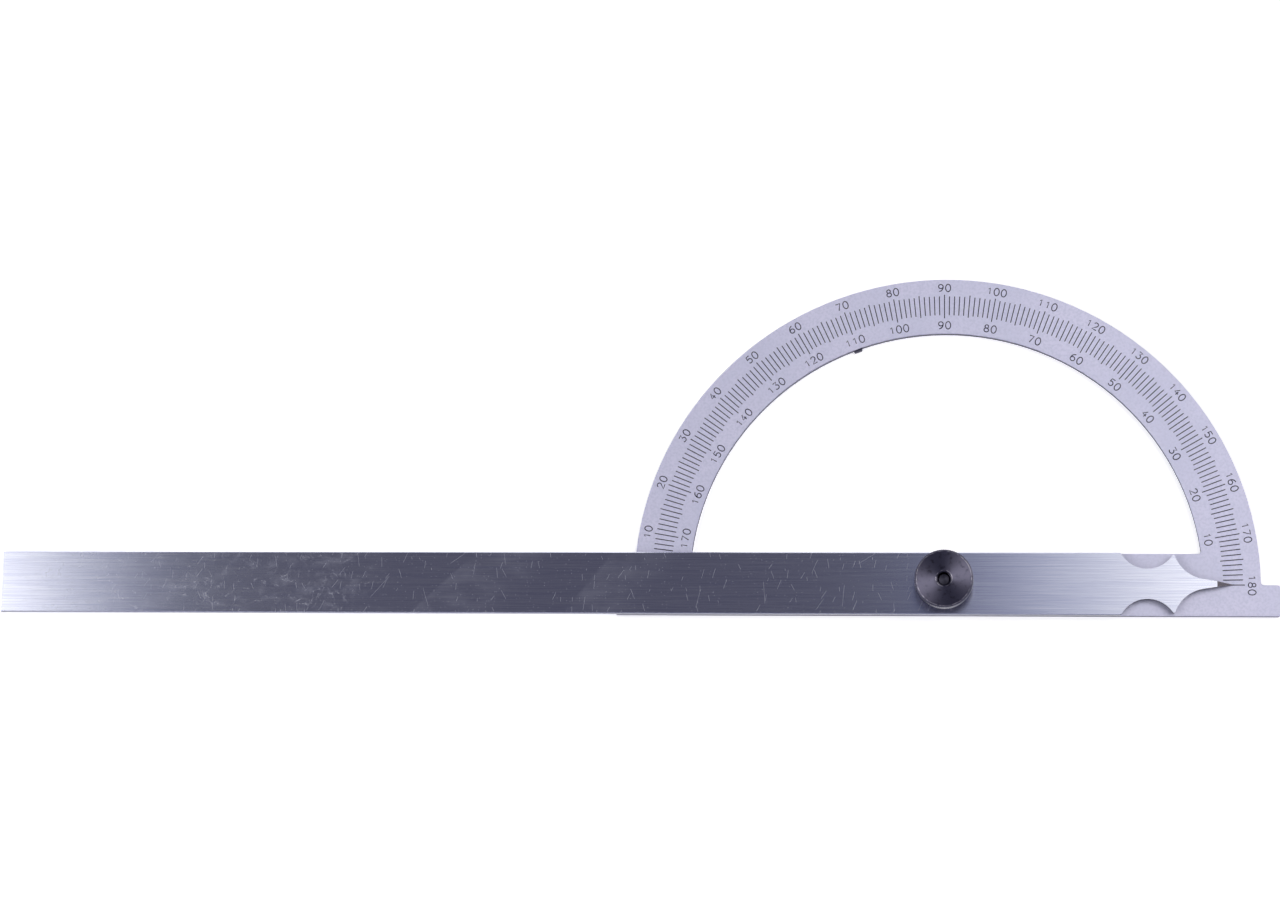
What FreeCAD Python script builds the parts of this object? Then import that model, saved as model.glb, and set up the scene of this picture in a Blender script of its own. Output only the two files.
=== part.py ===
import FreeCAD, Part
import math
import os

# Bevel protractor: a steel half-ring with a degree scale and a straight base, and a long blade with a
# pointer that swings over it on a stud and is clamped by a knurled nut.
# Millimetres. The origin is on the pivot axis at the plate's underside. +X runs along the base towards the
# pointer, +Y from the pivot towards the top of the arc, and +Z up through plate, blade and nut.

# Plate: half-ring, base bar and feet, cut from one sheet. The blade is as wide as the base bar under it.
PLATE_THICKNESS = 2.0
ARC_OUTER_R = 75.0
RING_WIDTH = 13.5
BAR_WIDTH = 15.0
FOOT_OVERHANG = 4.5         # how far each foot stands out past the arc
FOOT_CORNER_R = 0.5
ARC_CORNER_R = 0.9          # hollow corner where the arc lands on a foot
WINDOW_CORNER_R = 0.7
PLATE_EDGE_BREAK = 0.12

# Stub of the tab that held the blank in its sheet, left on the window's edge.
STUB_ANGLE = 110.0          # degrees, counted from +X
STUB_WIDTH = 2.1
STUB_PROUD = 0.55
STUB_THICKNESS = 1.1
STUB_ROOT = 0.4             # how deep the stub is rooted in the ring
STUB_CORNER_R = 0.35

# Degree scale: one engraved line per degree, longer at every fifth and longest at every tenth.
SCALE_SPAN = 180.0          # degrees
LINE_STEP = 1.0             # degrees
LINE_WIDTH = 0.18
LINE_DEPTH = 0.1
LONG_EVERY = 10             # lines
MIDDLE_EVERY = 5            # lines
LONG_LINE_START = 3.85      # starts are counted from the ring's inner edge
MIDDLE_LINE_START = 4.2
SHORT_LINE_START = 4.6
LONG_LINE_END = 3.8         # ends are counted from the ring's outer edge
SHORT_LINE_END = 4.2

# Blade: a straight bar that ends in a pointer, with two scallops and a slim ground needle.
BLADE_LENGTH = 300.0
BLADE_THICKNESS = 2.0
BLADE_GAP = 0.05            # running gap between plate and blade
BLADE_EDGE_BREAK = 0.2
TIP_INSET = 6.6             # from the arc's outer edge in to the tip
TIP_WIDTH = 0.14
TIP_THICKNESS = 0.15
GRIND_LENGTH = 3.8          # how far back from the tip the needle is ground down
NEEDLE_LENGTH = 7.1         # straight taper, from the tip back to the neck
NEEDLE_ROOT_WIDTH = 2.36
HORN_FROM_TIP = 13.93
HORN_R = 0.4                # rounding of the horn between neck and scallop
SCALLOP_WIDTH = 12.6        # along the blade's edge
SCALLOP_DEPTH = 3.88

# Pivot stud: countersunk head in the plate, shoulder through plate and blade, threaded end for the nut.
STUD_HEAD_SHY = 0.05        # how far the head stays inside the plate's underside
STUD_HEAD_RIM = 0.25        # straight rim of the head below its cone
STUD_LAND = 0.2             # straight hole left in the plate above the cone
STUD_SEAT_GAP = 0.03        # between the stud and its seat in the plate
SHOULDER_DIA = 5.0
SHOULDER_SHY = 0.1          # how far the shoulder stays below the blade's top, so that the nut can clamp
THREAD_DIA = 3.0
STUD_END_CHAMFER = 0.3
STUD_RECESS = 2.0           # from the nut's top face down to the stud's end
DRIVER_SLOT_WIDTH = 1.2
DRIVER_SLOT_DEPTH = 0.7
PIVOT_CLEARANCE = 0.05      # radial, blade on shoulder

# Waved spring washer, pressed flat by the nut.
WASHER_DIA = 8.0
WASHER_THICKNESS = 0.5
WASHER_CLEARANCE = 0.1      # radial, on the thread

# Knurled clamp nut: a wide head on a collar.
NUT_HEIGHT = 8.5
NUT_HEAD_DIA = 14.0
NUT_HEAD_THICKNESS = 3.5
NUT_COLLAR_DIA = 8.0
NUT_COLLAR_FLARE = 0.6
NUT_HEAD_CHAMFER = 0.45
NUT_FOOT_CHAMFER = 0.3
NUT_MOUTH_CHAMFER = 0.35
NUT_BORE_CLEARANCE = 0.05   # radial, stands for the thread
KNURL_PITCH = 0.5           # straight teeth, tip to tip round the rim
KNURL_DEPTH = 0.16

# Worked out from the sizes above.
HALF_BAR = BAR_WIDTH / 2
ARC_INNER_R = ARC_OUTER_R - RING_WIDTH
FOOT_X = ARC_OUTER_R + FOOT_OVERHANG
BLADE_BOTTOM = PLATE_THICKNESS + BLADE_GAP
BLADE_TOP = BLADE_BOTTOM + BLADE_THICKNESS
TIP_X = ARC_OUTER_R - TIP_INSET
WASHER_TOP = BLADE_TOP + WASHER_THICKNESS
NUT_TOP = WASHER_TOP + NUT_HEIGHT
SHOULDER_R = SHOULDER_DIA / 2
THREAD_R = THREAD_DIA / 2
STUD_RIM_TOP = STUD_HEAD_SHY + STUD_HEAD_RIM
STUD_CONE_TOP = PLATE_THICKNESS - STUD_LAND
STUD_HEAD_R = SHOULDER_R + STUD_CONE_TOP - STUD_RIM_TOP

SIDES = (-1, 1)
FULL_TURN = 360.0
EDGE_TOLERANCE = 1e-4
CUT_MARGIN = 1.0            # how far a cutting tool reaches past the face it opens
ORIGIN = FreeCAD.Vector(0, 0, 0)
UP = FreeCAD.Vector(0, 0, 1)


def point(x, y, z=0.0):
    return FreeCAD.Vector(x, y, z)


def line(start, end):
    return Part.makeLine(start, end)


def arc(start, middle, end):
    return Part.Arc(start, middle, end).toShape()


def prism(edges, bottom, height):
    """A closed outline in the XY plane, as a solid from bottom up by height."""
    face = Part.Face(Part.Wire(Part.__sortEdges__(edges)))
    solid = face.extrude(UP * height)
    solid.translate(UP * bottom)
    return solid


def turned(profile):
    """A solid of revolution about Z from (radius, height) corners."""
    corners = [point(radius, 0, height) for radius, height in profile]
    face = Part.Face(Part.makePolygon(corners + corners[:1]))
    return face.revolve(ORIGIN, UP, FULL_TURN)


def upright_edges(solid, places):
    """The edges parallel to Z that stand at the given (x, y) places."""
    found = []
    for edge in solid.Edges:
        low = edge.Vertexes[0].Point
        high = edge.Vertexes[-1].Point
        if math.hypot(low.x - high.x, low.y - high.y) > EDGE_TOLERANCE:
            continue
        for x, y in places:
            if math.hypot(low.x - x, low.y - y) < EDGE_TOLERANCE:
                found.append(edge)
    return found


def level_edges(solid, height):
    """The edges that lie wholly in the level plane at a height."""
    found = []
    for edge in solid.Edges:
        box = edge.BoundBox
        if abs(box.ZMin - height) < EDGE_TOLERANCE and abs(box.ZMax - height) < EDGE_TOLERANCE:
            found.append(edge)
    return found


def plate_blank():
    """The sheet outline with its window, its corners rounded and its rims broken."""
    outer = [
        line(point(-FOOT_X, -HALF_BAR), point(FOOT_X, -HALF_BAR)),
        line(point(FOOT_X, -HALF_BAR), point(FOOT_X, 0)),
        line(point(FOOT_X, 0), point(ARC_OUTER_R, 0)),
        arc(point(ARC_OUTER_R, 0), point(0, ARC_OUTER_R), point(-ARC_OUTER_R, 0)),
        line(point(-ARC_OUTER_R, 0), point(-FOOT_X, 0)),
        line(point(-FOOT_X, 0), point(-FOOT_X, -HALF_BAR)),
    ]
    window_x = math.sqrt(ARC_INNER_R ** 2 - HALF_BAR ** 2)
    window = [
        line(point(-window_x, HALF_BAR), point(window_x, HALF_BAR)),
        arc(point(window_x, HALF_BAR), point(0, ARC_INNER_R), point(-window_x, HALF_BAR)),
    ]
    blank = prism(outer, 0, PLATE_THICKNESS).cut(prism(window, 0, PLATE_THICKNESS))
    foot_corners = [(side * FOOT_X, y) for side in SIDES for y in (-HALF_BAR, 0)]
    arc_corners = [(side * ARC_OUTER_R, 0) for side in SIDES]
    window_corners = [(side * window_x, HALF_BAR) for side in SIDES]
    blank = blank.makeFillet(FOOT_CORNER_R, upright_edges(blank, foot_corners))
    blank = blank.makeFillet(ARC_CORNER_R, upright_edges(blank, arc_corners))
    blank = blank.makeFillet(WINDOW_CORNER_R, upright_edges(blank, window_corners))
    rims = level_edges(blank, 0) + level_edges(blank, PLATE_THICKNESS)
    return blank.makeChamfer(PLATE_EDGE_BREAK, rims)


def tab_stub():
    """The broken-off tab: a low stub on the window's edge, with its outer corners rounded."""
    inner = ARC_INNER_R - STUB_PROUD
    half_width = STUB_WIDTH / 2
    stub = Part.makeBox(STUB_PROUD + STUB_ROOT, STUB_WIDTH, STUB_THICKNESS, point(inner, -half_width))
    corners = [(inner, side * half_width) for side in SIDES]
    stub = stub.makeFillet(STUB_CORNER_R, upright_edges(stub, corners))
    stub.rotate(ORIGIN, UP, STUB_ANGLE)
    return stub


def scale_lines():
    """Cutters for the engraved scale, one bar per line, laid out as rays from the pivot."""
    cutters = []
    for number in range(round(SCALE_SPAN / LINE_STEP) + 1):
        if number % LONG_EVERY == 0:
            start, end = LONG_LINE_START, LONG_LINE_END
        elif number % MIDDLE_EVERY == 0:
            start, end = MIDDLE_LINE_START, LONG_LINE_END
        else:
            start, end = SHORT_LINE_START, SHORT_LINE_END
        corner = point(ARC_INNER_R + start, -LINE_WIDTH / 2, PLATE_THICKNESS - LINE_DEPTH)
        cutter = Part.makeBox(RING_WIDTH - start - end, LINE_WIDTH, LINE_DEPTH + CUT_MARGIN, corner)
        cutter.rotate(ORIGIN, UP, number * LINE_STEP)
        cutters.append(cutter)
    return Part.makeCompound(cutters)


def stud_seat():
    """The countersunk hole for the stud, wider than the stud by the seat gap all round."""
    head_r = STUD_HEAD_R + STUD_SEAT_GAP
    hole_r = SHOULDER_R + STUD_SEAT_GAP
    return turned([
        (0, -CUT_MARGIN),
        (head_r, -CUT_MARGIN),
        (head_r, STUD_RIM_TOP),
        (hole_r, STUD_CONE_TOP),
        (hole_r, PLATE_THICKNESS + CUT_MARGIN),
        (0, PLATE_THICKNESS + CUT_MARGIN),
    ])


def protractor_plate():
    return plate_blank().fuse(tab_stub()).cut(stud_seat()).cut(scale_lines()).removeSplitter()


def pointer_side(side):
    """One side of the pointer, 1 for the upper and -1 for the lower.

    Gives its edges from the blade's straight edge to the tip, the horn and the end of the straight edge.
    """
    horn = point(TIP_X - HORN_FROM_TIP, side * HALF_BAR)
    bar_end = point(horn.x - SCALLOP_WIDTH, side * HALF_BAR)
    scallop_middle = point(horn.x - SCALLOP_WIDTH / 2, side * (HALF_BAR - SCALLOP_DEPTH))
    root = point(TIP_X - NEEDLE_LENGTH, side * NEEDLE_ROOT_WIDTH / 2)
    tip = point(TIP_X, side * TIP_WIDTH / 2)

    # The neck is the arc that leaves the needle smoothly at its root and ends on the horn.
    flank = (tip - root).normalize()
    outward = point(-side * flank.y, side * flank.x)
    to_horn = horn - root
    neck_r = to_horn.Length ** 2 / (2 * outward.dot(to_horn))
    neck_centre = root + outward * neck_r
    neck_middle = neck_centre + ((horn + root) / 2 - neck_centre).normalize() * neck_r
    edges = [
        arc(bar_end, scallop_middle, horn),
        arc(horn, neck_middle, root),
        line(root, tip),
    ]
    return edges, horn, bar_end


def needle_grind():
    """The wedge ground off the needle from above, so that its tip lies close over the scale."""
    high = point(TIP_X - GRIND_LENGTH, -HALF_BAR, BLADE_TOP)
    low = point(TIP_X, -HALF_BAR, BLADE_BOTTOM + TIP_THICKNESS)
    slope = (low - high) / GRIND_LENGTH
    corners = [
        high - slope * CUT_MARGIN,
        low + slope * CUT_MARGIN,
        point(TIP_X + CUT_MARGIN, -HALF_BAR, BLADE_TOP + CUT_MARGIN),
        point(TIP_X - GRIND_LENGTH - CUT_MARGIN, -HALF_BAR, BLADE_TOP + CUT_MARGIN),
    ]
    return Part.Face(Part.makePolygon(corners + corners[:1])).extrude(point(0, BAR_WIDTH))


def blade():
    upper, upper_horn, upper_end = pointer_side(1)
    lower, lower_horn, lower_end = pointer_side(-1)
    rear_low = point(TIP_X - BLADE_LENGTH, -HALF_BAR)
    rear_high = point(TIP_X - BLADE_LENGTH, HALF_BAR)
    tip_face = line(point(TIP_X, TIP_WIDTH / 2), point(TIP_X, -TIP_WIDTH / 2))
    bar_sides = [line(lower_end, rear_low), line(rear_low, rear_high), line(rear_high, upper_end)]
    bar = prism(upper + [tip_face] + lower + bar_sides, BLADE_BOTTOM, BLADE_THICKNESS)
    horns = [(horn.x, horn.y) for horn in (upper_horn, lower_horn)]
    bar = bar.makeFillet(HORN_R, upright_edges(bar, horns))

    # The long edges and the rear end are broken, and the pointer is left crisp.
    rims = []
    for edge in level_edges(bar, BLADE_BOTTOM) + level_edges(bar, BLADE_TOP):
        if edge.BoundBox.XMax < upper_end.x + EDGE_TOLERANCE:
            rims.append(edge)
    bar = bar.makeChamfer(BLADE_EDGE_BREAK, rims)
    pivot_hole = Part.makeCylinder(SHOULDER_R + PIVOT_CLEARANCE, BLADE_THICKNESS, UP * BLADE_BOTTOM)
    return bar.cut(needle_grind()).cut(pivot_hole)


def pivot_stud():
    stud_top = NUT_TOP - STUD_RECESS
    shoulder_top = BLADE_TOP - SHOULDER_SHY
    body = turned([
        (0, STUD_HEAD_SHY),
        (STUD_HEAD_R, STUD_HEAD_SHY),
        (STUD_HEAD_R, STUD_RIM_TOP),
        (SHOULDER_R, STUD_CONE_TOP),
        (SHOULDER_R, shoulder_top),
        (THREAD_R, shoulder_top),
        (THREAD_R, stud_top - STUD_END_CHAMFER),
        (THREAD_R - STUD_END_CHAMFER, stud_top),
        (0, stud_top),
    ])
    slot_corner = point(-STUD_HEAD_R, -DRIVER_SLOT_WIDTH / 2, 0)
    slot_height = STUD_HEAD_SHY + DRIVER_SLOT_DEPTH
    driver_slot = Part.makeBox(2 * STUD_HEAD_R, DRIVER_SLOT_WIDTH, slot_height, slot_corner)
    return body.cut(driver_slot)


def spring_washer():
    ring = Part.makeCylinder(WASHER_DIA / 2, WASHER_THICKNESS, UP * BLADE_TOP)
    hole = Part.makeCylinder(THREAD_R + WASHER_CLEARANCE, WASHER_THICKNESS, UP * BLADE_TOP)
    return ring.cut(hole)


def knurled_head(bottom):
    """The nut's head: a ring of straight teeth whose ends run out in the chamfers."""
    tip_r = NUT_HEAD_DIA / 2
    teeth_count = round(math.pi * NUT_HEAD_DIA / KNURL_PITCH)
    tooth_corners = []
    for tooth in range(teeth_count):
        tip_angle = 2 * math.pi * tooth / teeth_count
        root_angle = tip_angle + math.pi / teeth_count
        for angle, radius in ((tip_angle, tip_r), (root_angle, tip_r - KNURL_DEPTH)):
            tooth_corners.append(point(radius * math.cos(angle), radius * math.sin(angle), bottom))
    teeth = Part.Face(Part.makePolygon(tooth_corners + tooth_corners[:1])).extrude(UP * NUT_HEAD_THICKNESS)
    envelope = turned([
        (0, bottom),
        (tip_r - NUT_HEAD_CHAMFER, bottom),
        (tip_r, bottom + NUT_HEAD_CHAMFER),
        (tip_r, NUT_TOP - NUT_HEAD_CHAMFER),
        (tip_r - NUT_HEAD_CHAMFER, NUT_TOP),
        (0, NUT_TOP),
    ])
    return teeth.common(envelope)


def clamp_nut():
    head_bottom = NUT_TOP - NUT_HEAD_THICKNESS
    head_middle = NUT_TOP - NUT_HEAD_THICKNESS / 2
    collar_r = NUT_COLLAR_DIA / 2
    bore_r = THREAD_R + NUT_BORE_CLEARANCE
    collar = turned([
        (0, WASHER_TOP),
        (collar_r - NUT_FOOT_CHAMFER, WASHER_TOP),
        (collar_r, WASHER_TOP + NUT_FOOT_CHAMFER),
        (collar_r, head_bottom - NUT_COLLAR_FLARE),
        (collar_r + NUT_COLLAR_FLARE, head_bottom),
        (collar_r, head_middle),
        (0, head_middle),
    ])
    hollow = turned([
        (0, WASHER_TOP - CUT_MARGIN),
        (bore_r, WASHER_TOP - CUT_MARGIN),
        (bore_r, NUT_TOP - NUT_MOUTH_CHAMFER),
        (bore_r + NUT_MOUTH_CHAMFER, NUT_TOP),
        (bore_r + NUT_MOUTH_CHAMFER, NUT_TOP + CUT_MARGIN),
        (0, NUT_TOP + CUT_MARGIN),
    ])
    return knurled_head(head_bottom).fuse(collar).cut(hollow).removeSplitter()


def main():
    os.makedirs("parts", exist_ok=True)
    for make in (protractor_plate, blade, pivot_stud, spring_washer, clamp_nut):
        shape = make()
        solids = shape.Solids
        if len(solids) == 1:
            shape = solids[0]
        print(make.__name__, "valid", shape.isValid(), "solids", len(solids), "mm3", round(shape.Volume))
        shape.exportStep("parts/" + make.__name__ + ".step")


main()
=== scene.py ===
"""Looks of a bevel protractor: a satin dial plate, a swinging ground blade and a black clamp nut."""
import math

import bmesh
import bpy
from mathutils import Matrix, Vector


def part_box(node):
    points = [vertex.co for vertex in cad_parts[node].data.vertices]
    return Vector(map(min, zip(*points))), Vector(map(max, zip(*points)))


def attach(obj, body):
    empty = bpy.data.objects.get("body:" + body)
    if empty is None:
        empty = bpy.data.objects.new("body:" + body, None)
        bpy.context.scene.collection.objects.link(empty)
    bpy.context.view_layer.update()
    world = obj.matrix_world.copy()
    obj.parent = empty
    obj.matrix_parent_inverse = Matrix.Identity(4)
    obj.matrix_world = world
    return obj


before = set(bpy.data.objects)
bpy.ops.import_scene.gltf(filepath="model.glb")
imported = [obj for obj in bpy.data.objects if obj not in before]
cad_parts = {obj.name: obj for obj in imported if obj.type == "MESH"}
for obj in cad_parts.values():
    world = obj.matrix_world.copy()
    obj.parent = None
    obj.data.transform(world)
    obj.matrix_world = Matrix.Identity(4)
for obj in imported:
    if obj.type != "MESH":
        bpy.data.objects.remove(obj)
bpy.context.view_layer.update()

MM = 0.001

# Places that the pieces share. The pivot axis is the frame's Z axis.
PLATE_LOW, PLATE_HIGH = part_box("protractor_plate")
NUT_LOW, NUT_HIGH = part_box("clamp_nut")
PLATE_TOP = PLATE_HIGH.z
RING_R = PLATE_HIGH.y               # the half-ring's outer radius
RING_WIDTH = 13.5 * MM

# Degree scale: the paint in the engraved lines. Insets are counted from the ring's edges.
SCALE_SPAN = 180                    # degrees
LONG_EVERY = 10                     # lines
MIDDLE_EVERY = 5                    # lines
PAINT_WIDTH = 0.23 * MM             # the paint laps a little over the groove's rims
LINE_DEPTH = 0.1 * MM
LINE_STARTS = {"long": 3.85 * MM, "middle": 4.2 * MM, "short": 4.6 * MM}
LINE_ENDS = {"long": 3.8 * MM, "middle": 3.8 * MM, "short": 4.2 * MM}
PAINT_PROUD = 0.008 * MM            # how far the paint stands over the plate's face

# Numerals: single engraved strokes filled with the same paint, tops outwards.
DIGIT_HEIGHT = 1.85 * MM            # between the stroke's centre lines
DIGIT_ADVANCE = 1.76 * MM           # from digit to digit along the row
STROKE_R = 0.12 * MM
STROKE_PROUD = 0.015 * MM
OUTER_ROW_R = RING_R - 2.1 * MM
INNER_ROW_R = RING_R - RING_WIDTH + 2.1 * MM
NUMERAL_STEP = 10                   # degrees


def linear(hex_colour):
    """An sRGB hex colour as linear RGBA."""
    channels = [int(hex_colour[i:i + 2], 16) / 255 for i in (1, 3, 5)]
    return [c / 12.92 if c <= 0.04045 else ((c + 0.055) / 1.055) ** 2.4 for c in channels] + [1.0]


def finish_mesh(bm, name):
    """The bmesh as an object of that name in the scene."""
    mesh = bpy.data.meshes.new(name)
    bm.to_mesh(mesh)
    bm.free()
    piece = bpy.data.objects.new(name, mesh)
    bpy.context.scene.collection.objects.link(piece)
    return piece


# ---------------------------------------------------------------- numerals and scale paint

def arc(centre_x, centre_y, radius_x, radius_y, start, end, steps=14):
    """Points on part of an ellipse, angles in degrees from +X."""
    angles = [math.radians(start + (end - start) * i / steps) for i in range(steps + 1)]
    return [(centre_x + radius_x * math.cos(a), centre_y + radius_y * math.sin(a)) for a in angles]


# Each digit is a list of strokes, in digit heights about the digit's centre.
DIGITS = {
    "0": [arc(0, 0, 0.33, 0.5, 0, 360, 20)],
    "1": [[(-0.13, 0.24), (0.07, 0.4), (0.07, -0.4)]],
    "2": [arc(0, 0.2, 0.28, 0.28, 165, -35, 10) + [(-0.3, -0.46), (0.32, -0.46)]],
    "3": [[(-0.25, 0.46), (0.25, 0.46), (-0.02, 0.1)] + arc(-0.03, -0.18, 0.31, 0.29, 80, -150, 12)],
    "4": [[(0.1, 0.42), (-0.3, -0.16), (0.3, -0.16)], [(0.1, 0.1), (0.1, -0.42)]],
    "5": [[(0.26, 0.47), (-0.2, 0.47), (-0.25, 0.05)] + arc(-0.02, -0.17, 0.3, 0.3, 138, -145, 13)],
    "6": [arc(0, -0.2, 0.3, 0.28, 0, 360, 16), arc(0.24, -0.16, 0.54, 0.62, 175, 92, 8)],
    "7": [[(-0.29, 0.45), (0.29, 0.45), (-0.1, -0.45)]],
    "8": [arc(0, 0.25, 0.23, 0.23, 0, 360, 16), arc(0, -0.22, 0.3, 0.26, 0, 360, 16)],
    "9": [arc(0, 0.2, 0.3, 0.28, 0, 360, 16), arc(-0.24, 0.16, 0.54, 0.62, -5, -88, 8)],
}


def digit_mesh(strokes):
    """One digit's strokes as flat round-backed ribbons, lying on the plane z = 0."""
    curve = bpy.data.curves.new("stroke", "CURVE")
    curve.dimensions = "3D"
    curve.bevel_depth = STROKE_R
    curve.bevel_resolution = 1
    curve.use_fill_caps = True
    for stroke in strokes:
        spline = curve.splines.new("POLY")
        closed = math.dist(stroke[0], stroke[-1]) < 1e-6
        points = stroke[:-1] if closed else stroke
        spline.points.add(len(points) - 1)
        spline.use_cyclic_u = closed
        for place, (x, y) in zip(spline.points, points):
            place.co = (x * DIGIT_HEIGHT, y * DIGIT_HEIGHT, 0, 1)
    holder = bpy.data.objects.new("stroke", curve)
    mesh = bpy.data.meshes.new_from_object(holder)
    bpy.data.objects.remove(holder)
    bpy.data.curves.remove(curve)
    mesh.transform(Matrix.Diagonal((1, 1, STROKE_PROUD / STROKE_R, 1)))
    return mesh


def numeral_rows():
    """Both rows of numerals: the outer one rises clockwise, the inner one the other way."""
    meshes = {digit: digit_mesh(strokes) for digit, strokes in DIGITS.items()}
    bm = bmesh.new()
    for radius, angle_of in ((OUTER_ROW_R, lambda n: SCALE_SPAN - n), (INNER_ROW_R, lambda n: n)):
        last = SCALE_SPAN if radius == OUTER_ROW_R else SCALE_SPAN - NUMERAL_STEP
        for number in range(NUMERAL_STEP, last + 1, NUMERAL_STEP):
            text = str(number)
            for i, digit in enumerate(text):
                along = (i - (len(text) - 1) / 2) * DIGIT_ADVANCE
                turn = math.radians(angle_of(number) - 90) - along / radius
                place = Matrix.Rotation(turn, 4, "Z") @ Matrix.Translation((0, radius, PLATE_TOP))
                mesh = meshes[digit].copy()
                mesh.transform(place)
                bm.from_mesh(mesh)
                bpy.data.meshes.remove(mesh)
    for mesh in meshes.values():
        bpy.data.meshes.remove(mesh)
    return finish_mesh(bm, "scale_numerals")


def line_kind(line):
    """Every tenth degree line is long and every other fifth one middling."""
    if line % LONG_EVERY == 0:
        return "long"
    return "middle" if line % MIDDLE_EVERY == 0 else "short"


def scale_paint():
    """The paint that fills the plate's engraved degree lines."""
    bm = bmesh.new()
    depth = LINE_DEPTH + PAINT_PROUD
    middle = PLATE_TOP + PAINT_PROUD - depth / 2
    for line in range(SCALE_SPAN + 1):
        kind = line_kind(line)
        start = RING_R - RING_WIDTH + LINE_STARTS[kind]
        end = RING_R - LINE_ENDS[kind]
        bmesh.ops.create_cube(bm, size=1.0, matrix=(
            Matrix.Rotation(math.radians(line), 4, "Z")
            @ Matrix.Translation(((start + end) / 2, 0, middle))
            @ Matrix.Diagonal((end - start, PAINT_WIDTH, depth, 1))
        ))
    return finish_mesh(bm, "scale_lines")


# ---------------------------------------------------------------- materials

# How level a face is: 1 lies flat, 0 stands upright.
WALL_FROM, WALL_FULL = 0.5, 0.2
FACET_LOW, FACET_HIGH = 0.86, 0.94  # the needle's ground facet, painted darker as shade
SHADE_BAND_LOW, SHADE_BAND_HIGH = 0.3, 1.5      # mm, heights painted dark as shade: the broken-off tab and the middle of every wall


def add_node(tree, kind, sockets=None, **settings):
    """A node with its settings, and each named socket set to a value or linked from a node's output."""
    node = tree.nodes.new(kind)
    for name, value in settings.items():
        setattr(node, name, value)
    for name, value in (sockets or {}).items():
        if isinstance(value, bpy.types.Node):
            value = value.outputs[0]
        if isinstance(value, bpy.types.NodeSocket):
            tree.links.new(value, node.inputs[name])
        else:
            node.inputs[name].default_value = value
    return node


def new_material(name):
    """An empty material's node tree, its output, and this object's coordinates in millimetres."""
    material = bpy.data.materials.new(name)
    material.use_nodes = True
    tree = material.node_tree
    tree.nodes.clear()
    output = add_node(tree, "ShaderNodeOutputMaterial")
    coordinates = add_node(tree, "ShaderNodeTexCoord")
    place = add_node(tree, "ShaderNodeVectorMath", {0: coordinates.outputs["Object"], 1: (1 / MM,) * 3},
                     operation="MULTIPLY")
    return material, tree, output, place


def soft_step(tree, value, low, high, shape="SMOOTHSTEP"):
    """0 below low and 1 above high, smooth between them. Low may be the larger one."""
    return add_node(tree, "ShaderNodeMapRange", {"Value": value, "From Min": low, "From Max": high},
                    interpolation_type=shape)


def product(tree, first, second):
    """The product of two values."""
    return add_node(tree, "ShaderNodeMath", {0: first, 1: second}, operation="MULTIPLY")


def total(tree, first, *others):
    """The sum of these values, kept between 0 and 1."""
    for other in others:
        first = add_node(tree, "ShaderNodeMath", {0: first, 1: other}, operation="ADD", use_clamp=True)
    return first


def grain(tree, place, per_mm, detail=2.0, roughness=0.5, distortion=0.0):
    """Noise with that many lumps to the millimetre along each axis."""
    stretched = add_node(tree, "ShaderNodeVectorMath", {0: place, 1: per_mm}, operation="MULTIPLY")
    return add_node(tree, "ShaderNodeTexNoise", {
        "Vector": stretched, "Scale": 1.0, "Detail": detail, "Roughness": roughness,
        "Distortion": distortion,
    })


def short_scratches(tree, place, cell, length, width, lean, spread, share):
    """Straight scratches, one at most to each cell of that many millimetres: lean is their mean angle from
    X in degrees, spread how far they differ from it, and share how many cells have one."""
    flat = add_node(tree, "ShaderNodeVectorMath", {0: place, 1: (1, 1, 0)}, operation="MULTIPLY")
    cells = add_node(tree, "ShaderNodeTexVoronoi", {"Vector": flat, "Scale": 1 / cell},
                     voronoi_dimensions="2D")
    local = add_node(tree, "ShaderNodeVectorMath", {0: flat, 1: cells.outputs["Position"]},
                     operation="SUBTRACT")
    chance = add_node(tree, "ShaderNodeSeparateColor", {0: cells.outputs["Color"]})
    angle = add_node(tree, "ShaderNodeMapRange", {
        "Value": chance.outputs[0],
        "To Min": math.radians(-lean - spread), "To Max": math.radians(-lean + spread),
    })
    turned = add_node(tree, "ShaderNodeVectorRotate", {"Vector": local, "Angle": angle},
                      rotation_type="Z_AXIS")
    size = add_node(tree, "ShaderNodeVectorMath", {0: turned}, operation="ABSOLUTE")
    sides = add_node(tree, "ShaderNodeSeparateXYZ", {0: size})
    reach = product(tree, chance.outputs[1], length / 2)
    left = add_node(tree, "ShaderNodeMath", {0: reach, 1: sides.outputs[0]}, operation="SUBTRACT")
    along = soft_step(tree, left, 0.0, width)
    across = soft_step(tree, sides.outputs[1], width, width / 3)
    there = add_node(tree, "ShaderNodeMath", {0: chance.outputs[2], 1: share}, operation="LESS_THAN")
    return product(tree, product(tree, along, across), there)


def world_direction(tree, direction):
    """A direction of the piece's own frame as the shader's tangent, so that it turns with the piece."""
    return add_node(tree, "ShaderNodeVectorTransform", {0: direction},
                    vector_type="VECTOR", convert_from="OBJECT", convert_to="WORLD")


def face_level(tree):
    """1 on a level face, 0 on an upright wall."""
    faces = add_node(tree, "ShaderNodeNewGeometry")
    lean = add_node(tree, "ShaderNodeSeparateXYZ", {0: faces.outputs["True Normal"]})
    return add_node(tree, "ShaderNodeMath", {0: lean.outputs[2]}, operation="ABSOLUTE")


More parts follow.
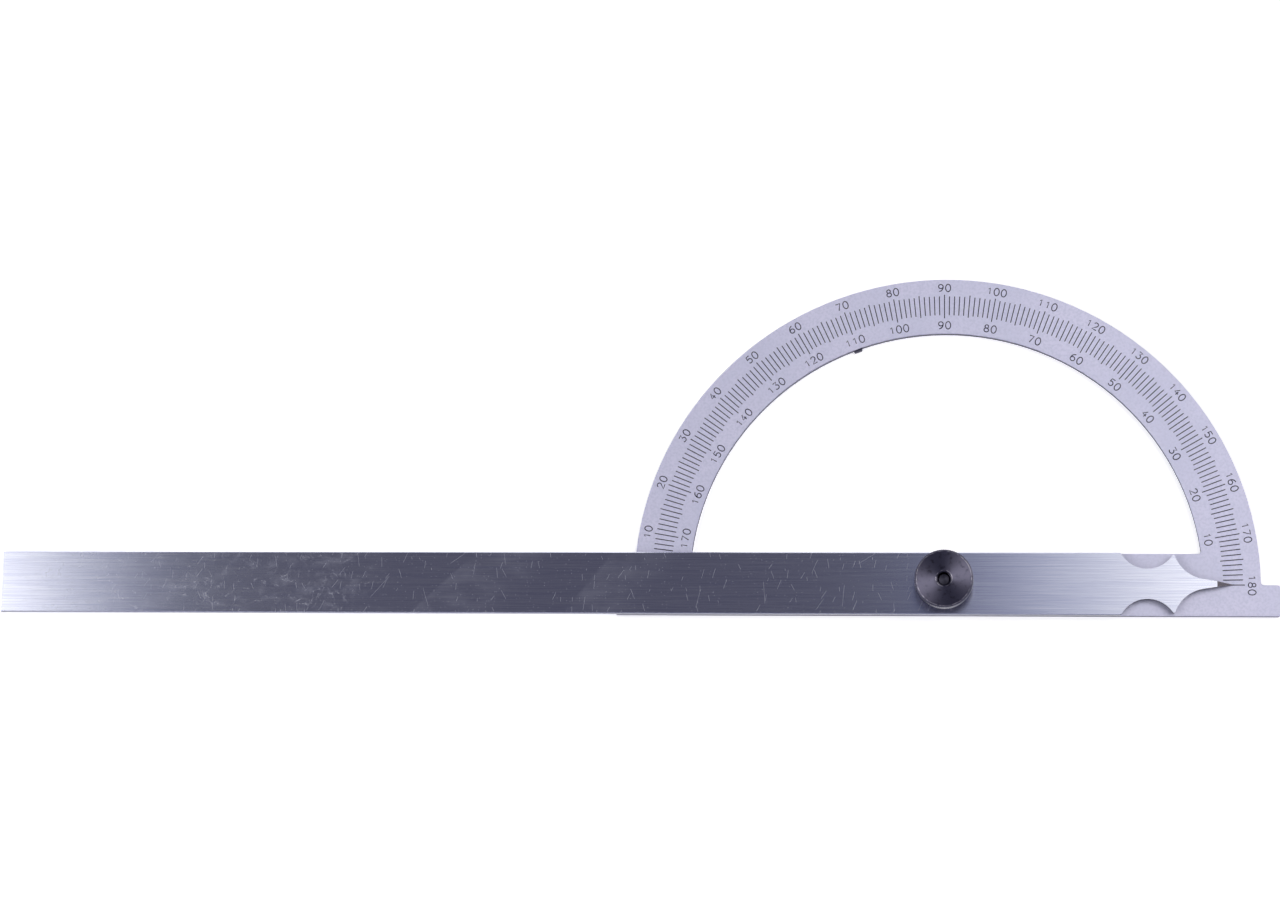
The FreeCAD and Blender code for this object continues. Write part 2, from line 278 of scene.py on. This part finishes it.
def satin_chrome():
    """Matt chrome on a fine-blasted sheet: an even pale sheen with a barely visible grain and faint clouds.
    The stamped edges are painted darker, as a duller cut edge and as painted shade; the tab is painted
    shade."""
    material, tree, output, place = new_material("satin_chrome_plate")
    clouds = grain(tree, place, (0.05, 0.05, 0.05), detail=3.0)
    mottle = grain(tree, place, (1.6, 1.6, 1.6), detail=3.0)
    grit = grain(tree, place, (9.0, 9.0, 9.0), detail=1.0)      # 0.1 mm blasting grit
    tone = add_node(tree, "ShaderNodeMix", {
        "Factor": soft_step(tree, clouds, 0.3, 0.7), "A": linear("#DEDFF5"), "B": linear("#E7E6FB"),
    }, data_type="RGBA")
    mottled = add_node(tree, "ShaderNodeMix", {
        "Factor": soft_step(tree, mottle, 0.35, 0.75), "A": tone.outputs["Result"], "B": linear("#D9DAF0"),
    }, data_type="RGBA")
    # Painted shade: the walls, and the band of heights that holds the tab, are mixed towards dark grey. On
    # the walls this also stands for a duller cut edge.
    walls = soft_step(tree, face_level(tree), WALL_FROM, WALL_FULL)
    sides = add_node(tree, "ShaderNodeSeparateXYZ", {0: place})
    tab_and_wall_shade = between(tree, sides.outputs[2], SHADE_BAND_LOW, SHADE_BAND_HIGH, 0.2)
    plate_dull_and_shaded = add_node(tree, "ShaderNodeMix", {
        "Factor": total(tree, walls, tab_and_wall_shade), "A": mottled.outputs["Result"], "B": linear("#5A5A6C"),
    }, data_type="RGBA")
    bump = add_node(tree, "ShaderNodeBump", {"Strength": 0.25, "Distance": 0.004 * MM, "Height": grit})
    shader = add_node(tree, "ShaderNodeBsdfPrincipled", {
        "Base Color": plate_dull_and_shaded.outputs["Result"], "Metallic": 0.75, "Roughness": 0.6, "Normal": bump,
    })
    tree.links.new(shader.outputs[0], output.inputs["Surface"])
    return material


def between(tree, value, low, high, fade):
    """1 where the value lies from low to high, fading out over that much on both sides."""
    return product(tree, soft_step(tree, value, low - fade, low), soft_step(tree, value, high + fade, high))


def dried_oil(tree, place, along):
    """Curls and clouds of dried oil, thickest towards the blade's rear."""
    curl = grain(tree, place, (0.16, 0.2, 0.2), detail=2.0, distortion=1.6)
    off = add_node(tree, "ShaderNodeMath", {0: curl, 1: 0.5}, operation="SUBTRACT")
    rim = add_node(tree, "ShaderNodeMath", {0: off}, operation="ABSOLUTE")
    curls = soft_step(tree, rim, 0.02, 0.0)
    broken = soft_step(tree, grain(tree, place, (0.5, 0.9, 0.9), detail=3.0), 0.42, 0.66)
    clouds = soft_step(tree, grain(tree, place, (0.22, 0.3, 0.3), detail=6.0, roughness=0.68), 0.46, 0.75)
    film = total(tree, product(tree, product(tree, curls, broken), 0.30), product(tree, clouds, 0.16))
    return product(tree, film, between(tree, along, -215.0, -150.0, 18.0))


def wiped_film(tree, place, along, across):
    """Broad slanting wipes of thin oil on the blade's middle, each with one clean border."""
    film = 0.0
    for start, end, slope in ((-122.0, -97.0, 1.1), (-86.5, -66.0, 0.8)):
        slant = add_node(tree, "ShaderNodeMath", {0: across, 1: -slope, 2: along}, operation="MULTIPLY_ADD")
        film = total(tree, film, product(tree, soft_step(tree, slant, start, start + 1.2),
                                         soft_step(tree, slant, end, end - 14.0)))
    cloudy = grain(tree, place, (0.12, 0.25, 0.25), detail=5.0, roughness=0.6)
    return product(tree, film, product(tree, soft_step(tree, cloudy, 0.25, 0.8), 0.09))


def ground_steel():
    """Flat-ground bar steel: straight grinding lines along the blade that smear reflections across it, with
    the short nicks, wiping marks and dried oil of a tool in use. The side walls are painted darker, partly
    as a duller ground edge and partly as painted shade, and the needle's ground facet is painted darker as
    shade."""
    material, tree, output, place = new_material("ground_blade_steel")
    sides = add_node(tree, "ShaderNodeSeparateXYZ", {0: place})
    streaks = grain(tree, place, (0.06, 5.0, 5.0), detail=4.0, roughness=0.65)
    fine = grain(tree, place, (0.25, 14.0, 14.0), detail=2.0)
    worn_part = between(tree, sides.outputs[0], -185.0, -10.0, 45.0)
    nicks = short_scratches(tree, place, cell=2.6, length=2.8, width=0.065, lean=86, spread=34, share=0.5)
    long_nicks = short_scratches(tree, place, cell=9.0, length=8.0, width=0.065, lean=70, spread=40,
                                 share=0.45)
    wipes = short_scratches(tree, place, cell=12.0, length=11.0, width=0.06, lean=0, spread=14, share=0.3)
    specks = short_scratches(tree, place, cell=0.75, length=0.3, width=0.12, lean=45, spread=90, share=0.5)
    marks = total(tree, product(tree, nicks, 0.36), product(tree, long_nicks, 0.3),
                  product(tree, wipes, 0.12), product(tree, specks, 0.3))
    haze = total(tree, product(tree, marks, worn_part), dried_oil(tree, place, sides.outputs[0]),
                 wiped_film(tree, place, sides.outputs[0], sides.outputs[1]), 0.012)
    tone = add_node(tree, "ShaderNodeMix", {
        "Factor": soft_step(tree, streaks, 0.15, 0.85), "A": linear("#CBCFE7"), "B": linear("#F3F6FF"),
    }, data_type="RGBA")
    level = face_level(tree)
    # Painted shade: the needle's ground facet is painted a darker grey.
    facet = between(tree, level, FACET_LOW, FACET_HIGH, 0.03)
    facet_shaded = add_node(tree, "ShaderNodeMix", {
        "Factor": facet, "A": tone.outputs["Result"], "B": linear("#77727A"),
    }, data_type="RGBA")
    # Painted shade: the side walls are painted dark grey, which also stands for a duller ground edge.
    blade_dull_and_shaded = add_node(tree, "ShaderNodeMix", {
        "Factor": soft_step(tree, level, WALL_FROM, WALL_FULL),
        "A": facet_shaded.outputs["Result"], "B": linear("#4A4B57"),
    }, data_type="RGBA")
    bump = add_node(tree, "ShaderNodeBump", {"Strength": 0.15, "Distance": 0.003 * MM, "Height": fine})
    metallic = add_node(tree, "ShaderNodeMath", {0: 1.0, 1: haze}, operation="SUBTRACT")
    shader = add_node(tree, "ShaderNodeBsdfPrincipled", {
        "Base Color": blade_dull_and_shaded.outputs["Result"], "Metallic": metallic, "Roughness": 0.2,
        "Anisotropic": 0.7, "Tangent": world_direction(tree, (0, 1, 0)), "Normal": bump,
    })
    tree.links.new(shader.outputs[0], output.inputs["Surface"])
    return material


def black_oxide():
    """Black oxide on turned steel: a dark sheen that the turning rings stretch into two bright fans, with
    painted highlights along the rim and the bore's mouth, broken up by noise, and a little pale dust."""
    material, tree, output, place = new_material("black_oxide_nut")
    radial = add_node(tree, "ShaderNodeVectorMath", {0: place, 1: (1, 1, 0)}, operation="MULTIPLY")
    length = add_node(tree, "ShaderNodeVectorMath", {0: radial}, operation="LENGTH")
    radius = length.outputs["Value"]
    rings = add_node(tree, "ShaderNodeTexNoise", {"W": product(tree, radius, 5.0), "Detail": 3.0},
                     noise_dimensions="1D")
    stains = grain(tree, place, (0.9, 0.9, 0.9), detail=4.0, roughness=0.6)
    dust = soft_step(tree, grain(tree, place, (3.2, 3.2, 3.2), detail=4.0, roughness=0.7), 0.66, 0.74)
    tone = add_node(tree, "ShaderNodeMix", {
        "Factor": rings, "A": linear("#5A5869"), "B": linear("#6E6C7F"),
    }, data_type="RGBA")
    stained = add_node(tree, "ShaderNodeMix", {
        "Factor": soft_step(tree, stains, 0.5, 0.8), "A": tone.outputs["Result"], "B": linear("#413F4B"),
    }, data_type="RGBA")
    head_r = (NUT_HIGH.x - NUT_LOW.x) / 2 / MM
    rim_r = head_r - 0.42           # where the top face meets the head's chamfer
    mouth_r = 1.86                  # where the top face meets the bore's chamfer
    # Painted highlights: pale rings where the top face meets the head's chamfer and the bore's chamfer,
    # broken up by noise.
    rim_highlights = total(tree, between(tree, radius, rim_r - 0.08, rim_r, 0.05),
                   between(tree, radius, mouth_r, mouth_r + 0.09, 0.06))
    highlight_breaks = soft_step(tree, grain(tree, place, (1.4, 1.4, 1.4), detail=3.0), 0.36, 0.6)
    rim_highlights_and_dust = total(tree, product(tree, rim_highlights, highlight_breaks), product(tree, dust, 0.3))
    coat_with_highlights = add_node(tree, "ShaderNodeMix", {
        "Factor": product(tree, rim_highlights_and_dust, 0.8), "A": stained.outputs["Result"], "B": linear("#C9C6CF"),
    }, data_type="RGBA")
    bump = add_node(tree, "ShaderNodeBump", {"Strength": 0.2, "Distance": 0.004 * MM, "Height": rings})
    shader = add_node(tree, "ShaderNodeBsdfPrincipled", {
        "Base Color": coat_with_highlights.outputs["Result"], "Metallic": 1.0, "Roughness": 0.36, "Anisotropic": 0.92,
        "Tangent": world_direction(tree, radial), "Normal": bump,
    })
    tree.links.new(shader.outputs[0], output.inputs["Surface"])
    return material


def engraving_paint():
    """Violet-black paint wiped into the engraving: matt and almost without depth."""
    material, tree, output, place = new_material("engraving_paint")
    patches = grain(tree, place, (1.5, 1.5, 1.5), detail=2.0)
    tone = add_node(tree, "ShaderNodeMix", {
        "Factor": patches, "A": linear("#24213A"), "B": linear("#35334A"),
    }, data_type="RGBA")
    shader = add_node(tree, "ShaderNodeBsdfPrincipled", {
        "Base Color": tone.outputs["Result"], "Roughness": 0.8, "IOR": 1.5,
    })
    tree.links.new(shader.outputs[0], output.inputs["Surface"])
    return material


def turned_steel():
    """Blackened turned steel of the stud: fine rings about its axis."""
    material, tree, output, place = new_material("turned_stud_steel")
    radial = add_node(tree, "ShaderNodeVectorMath", {0: place, 1: (1, 1, 0)}, operation="MULTIPLY")
    radius = add_node(tree, "ShaderNodeVectorMath", {0: radial}, operation="LENGTH")
    rings = add_node(tree, "ShaderNodeTexNoise", {
        "W": product(tree, radius.outputs["Value"], 8.0), "Detail": 2.0,
    }, noise_dimensions="1D")
    tone = add_node(tree, "ShaderNodeMix", {
        "Factor": rings, "A": linear("#3E3D48"), "B": linear("#53525E"),
    }, data_type="RGBA")
    shader = add_node(tree, "ShaderNodeBsdfPrincipled", {
        "Base Color": tone.outputs["Result"], "Metallic": 1.0, "Roughness": 0.35, "Anisotropic": 0.6,
        "Tangent": world_direction(tree, radial),
    })
    tree.links.new(shader.outputs[0], output.inputs["Surface"])
    return material


def spring_steel():
    """Hardened spring strip: darker and bluer than the blade, with a soft gloss."""
    material, tree, output, place = new_material("spring_strip_steel")
    patches = grain(tree, place, (0.8, 0.8, 0.8), detail=3.0)
    tone = add_node(tree, "ShaderNodeMix", {
        "Factor": patches, "A": linear("#7C7F8E"), "B": linear("#9A9CAC"),
    }, data_type="RGBA")
    shader = add_node(tree, "ShaderNodeBsdfPrincipled", {
        "Base Color": tone.outputs["Result"], "Metallic": 1.0, "Roughness": 0.3,
    })
    tree.links.new(shader.outputs[0], output.inputs["Surface"])
    return material


def dress(piece, material):
    """The piece in that material alone."""
    piece.data.materials.clear()
    piece.data.materials.append(material)


# ---------------------------------------------------------------- studio

FLOOR_REACH = 15.0                  # metres, from the pivot to each side
SOFTBOX_HEIGHT = 1.0                # metres


def stage_sheet(name, low_x, high_x, low_y, high_y, height):
    """A flat sheet of the studio, not part of the object."""
    bm = bmesh.new()
    middle = Vector(((low_x + high_x) / 2, (low_y + high_y) / 2, height))
    bmesh.ops.create_grid(bm, x_segments=1, y_segments=1, size=0.5, matrix=(
        Matrix.Translation(middle) @ Matrix.Diagonal((high_x - low_x, high_y - low_y, 1, 1))
    ))
    sheet = finish_mesh(bm, name)
    return sheet


def floor():
    """A plain white floor that the studio lights to paper white."""
    sheet = stage_sheet("floor", -FLOOR_REACH, FLOOR_REACH, -FLOOR_REACH, FLOOR_REACH, PLATE_LOW.z)
    material, tree, output, _ = new_material("white_paper_floor")
    diffuse = add_node(tree, "ShaderNodeBsdfDiffuse", {"Color": linear("#F4F4F6")})
    glow = add_node(tree, "ShaderNodeEmission", {"Color": linear("#FFFFFF"), "Strength": 0.6})
    both = add_node(tree, "ShaderNodeAddShader", {0: diffuse, 1: glow})
    tree.links.new(both.outputs[0], output.inputs["Surface"])
    dress(sheet, material)


def softbox(name, low_x, high_x, low_y, high_y, strength, fades, shape):
    """A lit sheet that fades out towards each side, as cloth over lamps does. fades has the width of the
    fade at low X, high X, low Y and high Y, in metres, and shape says whether it is straight or smooth."""
    sheet = stage_sheet(name, low_x, high_x, low_y, high_y, SOFTBOX_HEIGHT)
    sheet.visible_camera = False
    material, tree, output, place = new_material(name + "_light")
    sides = add_node(tree, "ShaderNodeSeparateXYZ", {0: place})
    edges = ((0, low_x, 1), (0, high_x, -1), (1, low_y, 1), (1, high_y, -1))
    level = strength
    for (axis, edge, inward), fade in zip(edges, fades):
        rise = soft_step(tree, sides.outputs[axis], edge / MM, (edge + inward * fade) / MM, shape)
        level = product(tree, rise, level)
    tint = add_node(tree, "ShaderNodeMix", {
        "Factor": soft_step(tree, level, 0.0, strength * 0.4),
        "A": linear("#C1CBFF"), "B": linear("#FFFDFA"),
    }, data_type="RGBA")
    light = add_node(tree, "ShaderNodeEmission", {"Color": tint.outputs["Result"], "Strength": level})
    tree.links.new(light.outputs[0], output.inputs["Surface"])
    dress(sheet, material)


def studio_world():
    """Pale walls low down and a dim ceiling."""
    world = bpy.data.worlds.new("studio")
    bpy.context.scene.world = world
    world.use_nodes = True
    tree = world.node_tree
    tree.nodes.clear()
    output = add_node(tree, "ShaderNodeOutputWorld")
    coordinates = add_node(tree, "ShaderNodeTexCoord")
    sides = add_node(tree, "ShaderNodeSeparateXYZ", {0: coordinates.outputs["Generated"]})
    level = add_node(tree, "ShaderNodeMapRange", {
        "Value": sides.outputs[2], "From Min": 0.0, "From Max": 0.5, "To Min": 0.4, "To Max": 0.112,
    }, interpolation_type="SMOOTHSTEP")
    background = add_node(tree, "ShaderNodeBackground", {"Color": linear("#DDDBFF"), "Strength": level})
    tree.links.new(background.outputs[0], output.inputs["Surface"])


def camera():
    """High above the pivot and a little towards the reader, turned so that the blade lies level."""
    data = bpy.data.cameras.new("camera")
    data.sensor_width = 36.0
    data.lens = 93.2
    data.clip_start = 0.05
    data.clip_end = 20.0
    holder = bpy.data.objects.new("camera", data)
    bpy.context.scene.collection.objects.link(holder)
    holder.location = (0.0091, -0.1057, 0.7949)
    holder.rotation_euler = [math.radians(a) for a in (9.957, 5.828, 0.911)]
    bpy.context.scene.camera = holder


def build():
    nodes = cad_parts
    dress(nodes["protractor_plate"], satin_chrome())
    dress(nodes["blade"], ground_steel())
    dress(nodes["clamp_nut"], black_oxide())
    dress(nodes["pivot_stud"], turned_steel())
    dress(nodes["spring_washer"], spring_steel())
    paint = engraving_paint()
    for piece in (numeral_rows(), scale_paint()):
        dress(piece, paint)
        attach(piece, "frame")
    floor()
    softbox("right_softbox", -0.035, 1.6, -0.14, 0.9, strength=3.25,
            fades=(0.38, 0.3, 0.25, 0.25), shape="LINEAR")
    softbox("left_softbox", -1.8, -0.42, -0.8, 0.36, strength=3.45,
            fades=(0.3, 0.24, 0.25, 0.25), shape="SMOOTHSTEP")
    studio_world()
    camera()
    bpy.context.scene.view_settings.view_transform = "Standard"


build()
